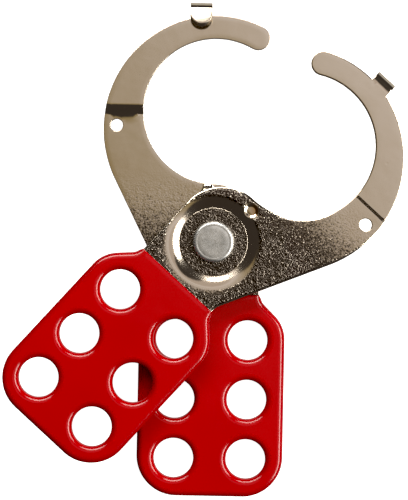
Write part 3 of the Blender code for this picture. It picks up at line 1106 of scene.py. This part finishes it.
class HASP_OT_handle_coatings(bpy.types.Operator):
    """Makes both dipped vinyl handle skins"""

    bl_idname = "hasp.handle_coatings"
    bl_label = "Handle coatings"

    def execute(self, context):
        settings = context.scene.hasp_coating
        mesh = coating_mesh(settings.edge_radius / MM, settings.rim_radius / MM, settings.lip_radius / MM)
        finish = vinyl_material(settings)
        for side, matrix in arm_places().items():
            node = f"{side}_handle_coating"
            add_piece(f"{side}_skin", mesh, finish, f"{side}_arm", node, matrix)
        return {"FINISHED"}


class HASP_OT_pivot_rivet(bpy.types.Operator):
    """Makes the rivet that both arms turn on"""

    bl_idname = "hasp.pivot_rivet"
    bl_label = "Pivot rivet"

    def execute(self, context):
        settings = context.scene.hasp_rivet
        mesh = rivet_mesh(settings.chamfer / MM)
        middle = Matrix.Translation((0, 0, MIDDLE_Z * MM))
        add_piece("rivet", mesh, zinc_material(settings), "rear_arm", "pivot_rivet", middle)
        return {"FINISHED"}


def studio_world():
    """A warm cloud overhead, leaning to the upper right with a bite out of its far end, between dark walls.

    Below the horizon on the same side is a pale table.
    """
    world = bpy.data.worlds.new("studio")
    bpy.context.scene.world = world
    shading = Shading(world)
    bearing = radians(CLOUD_BEARING)
    direction = shading.node("ShaderNodeTexCoord", "Generated", {})
    along = shading.dot(direction, (cos(bearing), sin(bearing), 0.0))
    across = shading.dot(direction, (-sin(bearing), cos(bearing), 0.0))
    upward = shading.dot(direction, (0.0, 0.0, 1.0))
    lengthwise = (along - CLOUD_CENTRE) * (1 / CLOUD_HALF_LENGTH)
    crosswise = across * (1 / CLOUD_HALF_WIDTH)
    oval = shading.between(lengthwise * lengthwise + crosswise * crosswise, 1.3, 0.8)
    bite = shading.between(along - shading.size(across) * 0.8, 0.28, 0.4)
    cloud = oval * shading.between(upward, 0.2, 0.5) * (1.0 - bite)
    table = shading.between(upward, sin(radians(TABLE_TOP)), sin(radians(TABLE_BOTTOM)))
    table = table * shading.between(along, -0.3, 0.3)
    tone = shading.mixed(shading.between(along, -0.1, 0.3), CLOUD_DEEP, CLOUD_BRIGHT)
    tone = shading.mixed(shading.between(along, 0.1, 0.25), tone, CLOUD_FAR)
    surroundings = shading.mixed(table, WALLS, TABLE)
    background = shading.tree.nodes["Background"]
    shading.fill(background, {"Color": shading.mixed(cloud, surroundings, tone), "Strength": 1.0})


def add_floor(colour):
    """A plain square floor just under the hasp, left out of its reflections."""
    corners = [(x * FLOOR_HALF, y * FLOOR_HALF, cad_low.z - FLOOR_GAP) for x, y in FLOOR_CORNERS]
    mesh = bpy.data.meshes.new("floor")
    mesh.from_pydata(corners, [], [(0, 1, 2, 3)])
    floor = bpy.data.objects.new("floor", mesh)
    bpy.context.scene.collection.objects.link(floor)
    finish, shading, shader = principled("floor_white", Roughness=1.0)
    shading.fill(
        shader,
        {"Base Color": (*colour, 1.0), "Emission Color": (*colour, 1.0), "Emission Strength": 1.0},
    )
    mesh.materials.append(finish)
    floor.visible_glossy = False
    floor.visible_diffuse = False


def add_camera(settings):
    """A camera that looks straight down, turned a little about its own axis."""
    camera = bpy.data.objects.new("camera", bpy.data.cameras.new("camera"))
    bpy.context.scene.collection.objects.link(camera)
    camera.location = (*CAMERA_SHIFT, MIDDLE_Z * MM + settings.camera_height)
    camera.rotation_euler = (0, 0, radians(CAMERA_ROLL))
    camera.data.sensor_width = SENSOR
    camera.data.lens = SENSOR * settings.camera_height / settings.view_height
    camera.data.clip_start = CAMERA_CLIP
    bpy.context.scene.camera = camera


def add_soft_light(name, bearing, from_zenith, size, power):
    """A rectangular light on a dome round the object, facing its middle."""
    light = bpy.data.lights.new(name, "AREA")
    light.shape = "RECTANGLE"
    light.size, light.size_y = size
    light.energy = power
    light.color = LIGHT_COLOUR
    lamp = bpy.data.objects.new(name, light)
    bpy.context.scene.collection.objects.link(lamp)
    turn = Matrix.Rotation(radians(bearing - 90.0), 4, "Z")
    lean = Matrix.Rotation(-radians(from_zenith), 4, "X")
    lamp.matrix_world = turn @ lean @ Matrix.Translation((0, 0, LIGHT_DISTANCE))


class HASP_OT_stage(bpy.types.Operator):
    """Makes the floor, the camera and the lights"""

    bl_idname = "hasp.stage"
    bl_label = "Stage"

    def execute(self, context):
        settings = context.scene.hasp_stage
        view = context.scene.view_settings
        view.view_transform = "Standard"
        view.use_curve_mapping = True
        view.curve_mapping.black_level = (BLACK_LEVEL,) * 3
        view.curve_mapping.update()
        studio_world()
        add_floor(settings.floor)
        add_camera(settings)
        for name, bearing, from_zenith, size in SOFT_LIGHTS:
            power = settings.side_light if name == "side_light" else settings.top_light
            add_soft_light(name, bearing, from_zenith, size, power)
        return {"FINISHED"}


STEPS = (HASP_OT_jaw_plates, HASP_OT_handle_coatings, HASP_OT_pivot_rivet, HASP_OT_stage)


class HASP_PT_panel(bpy.types.Panel):
    """Lists the hasp's sizes, colours and steps"""

    bl_idname = "HASP_PT_panel"
    bl_label = "Lockout hasp"
    bl_space_type = "VIEW_3D"
    bl_region_type = "UI"
    bl_category = "Hasp"

    def draw(self, context):
        for name in SETTINGS:
            box = self.layout.box()
            settings = getattr(context.scene, name)
            for row in settings.bl_rna.properties.keys():
                if row not in ("rna_type", "name"):
                    box.prop(settings, row)
        for step in STEPS:
            self.layout.operator(step.bl_idname)


SETTINGS = {
    "hasp_plate": PlateSettings,
    "hasp_coating": CoatingSettings,
    "hasp_rivet": RivetSettings,
    "hasp_stage": StageSettings,
}
CLASSES = (*SETTINGS.values(), *STEPS, HASP_PT_panel)


def register():
    for made in CLASSES:
        bpy.utils.register_class(made)
    for name, group in SETTINGS.items():
        setattr(bpy.types.Scene, name, PointerProperty(type=group))


def unregister():
    for name in SETTINGS:
        delattr(bpy.types.Scene, name)
    for made in reversed(CLASSES):
        bpy.utils.unregister_class(made)


def main():
    register()
    bpy.ops.hasp.jaw_plates()
    bpy.ops.hasp.handle_coatings()
    bpy.ops.hasp.pivot_rivet()
    bpy.ops.hasp.stage()


if __name__ == "__main__":
    main()
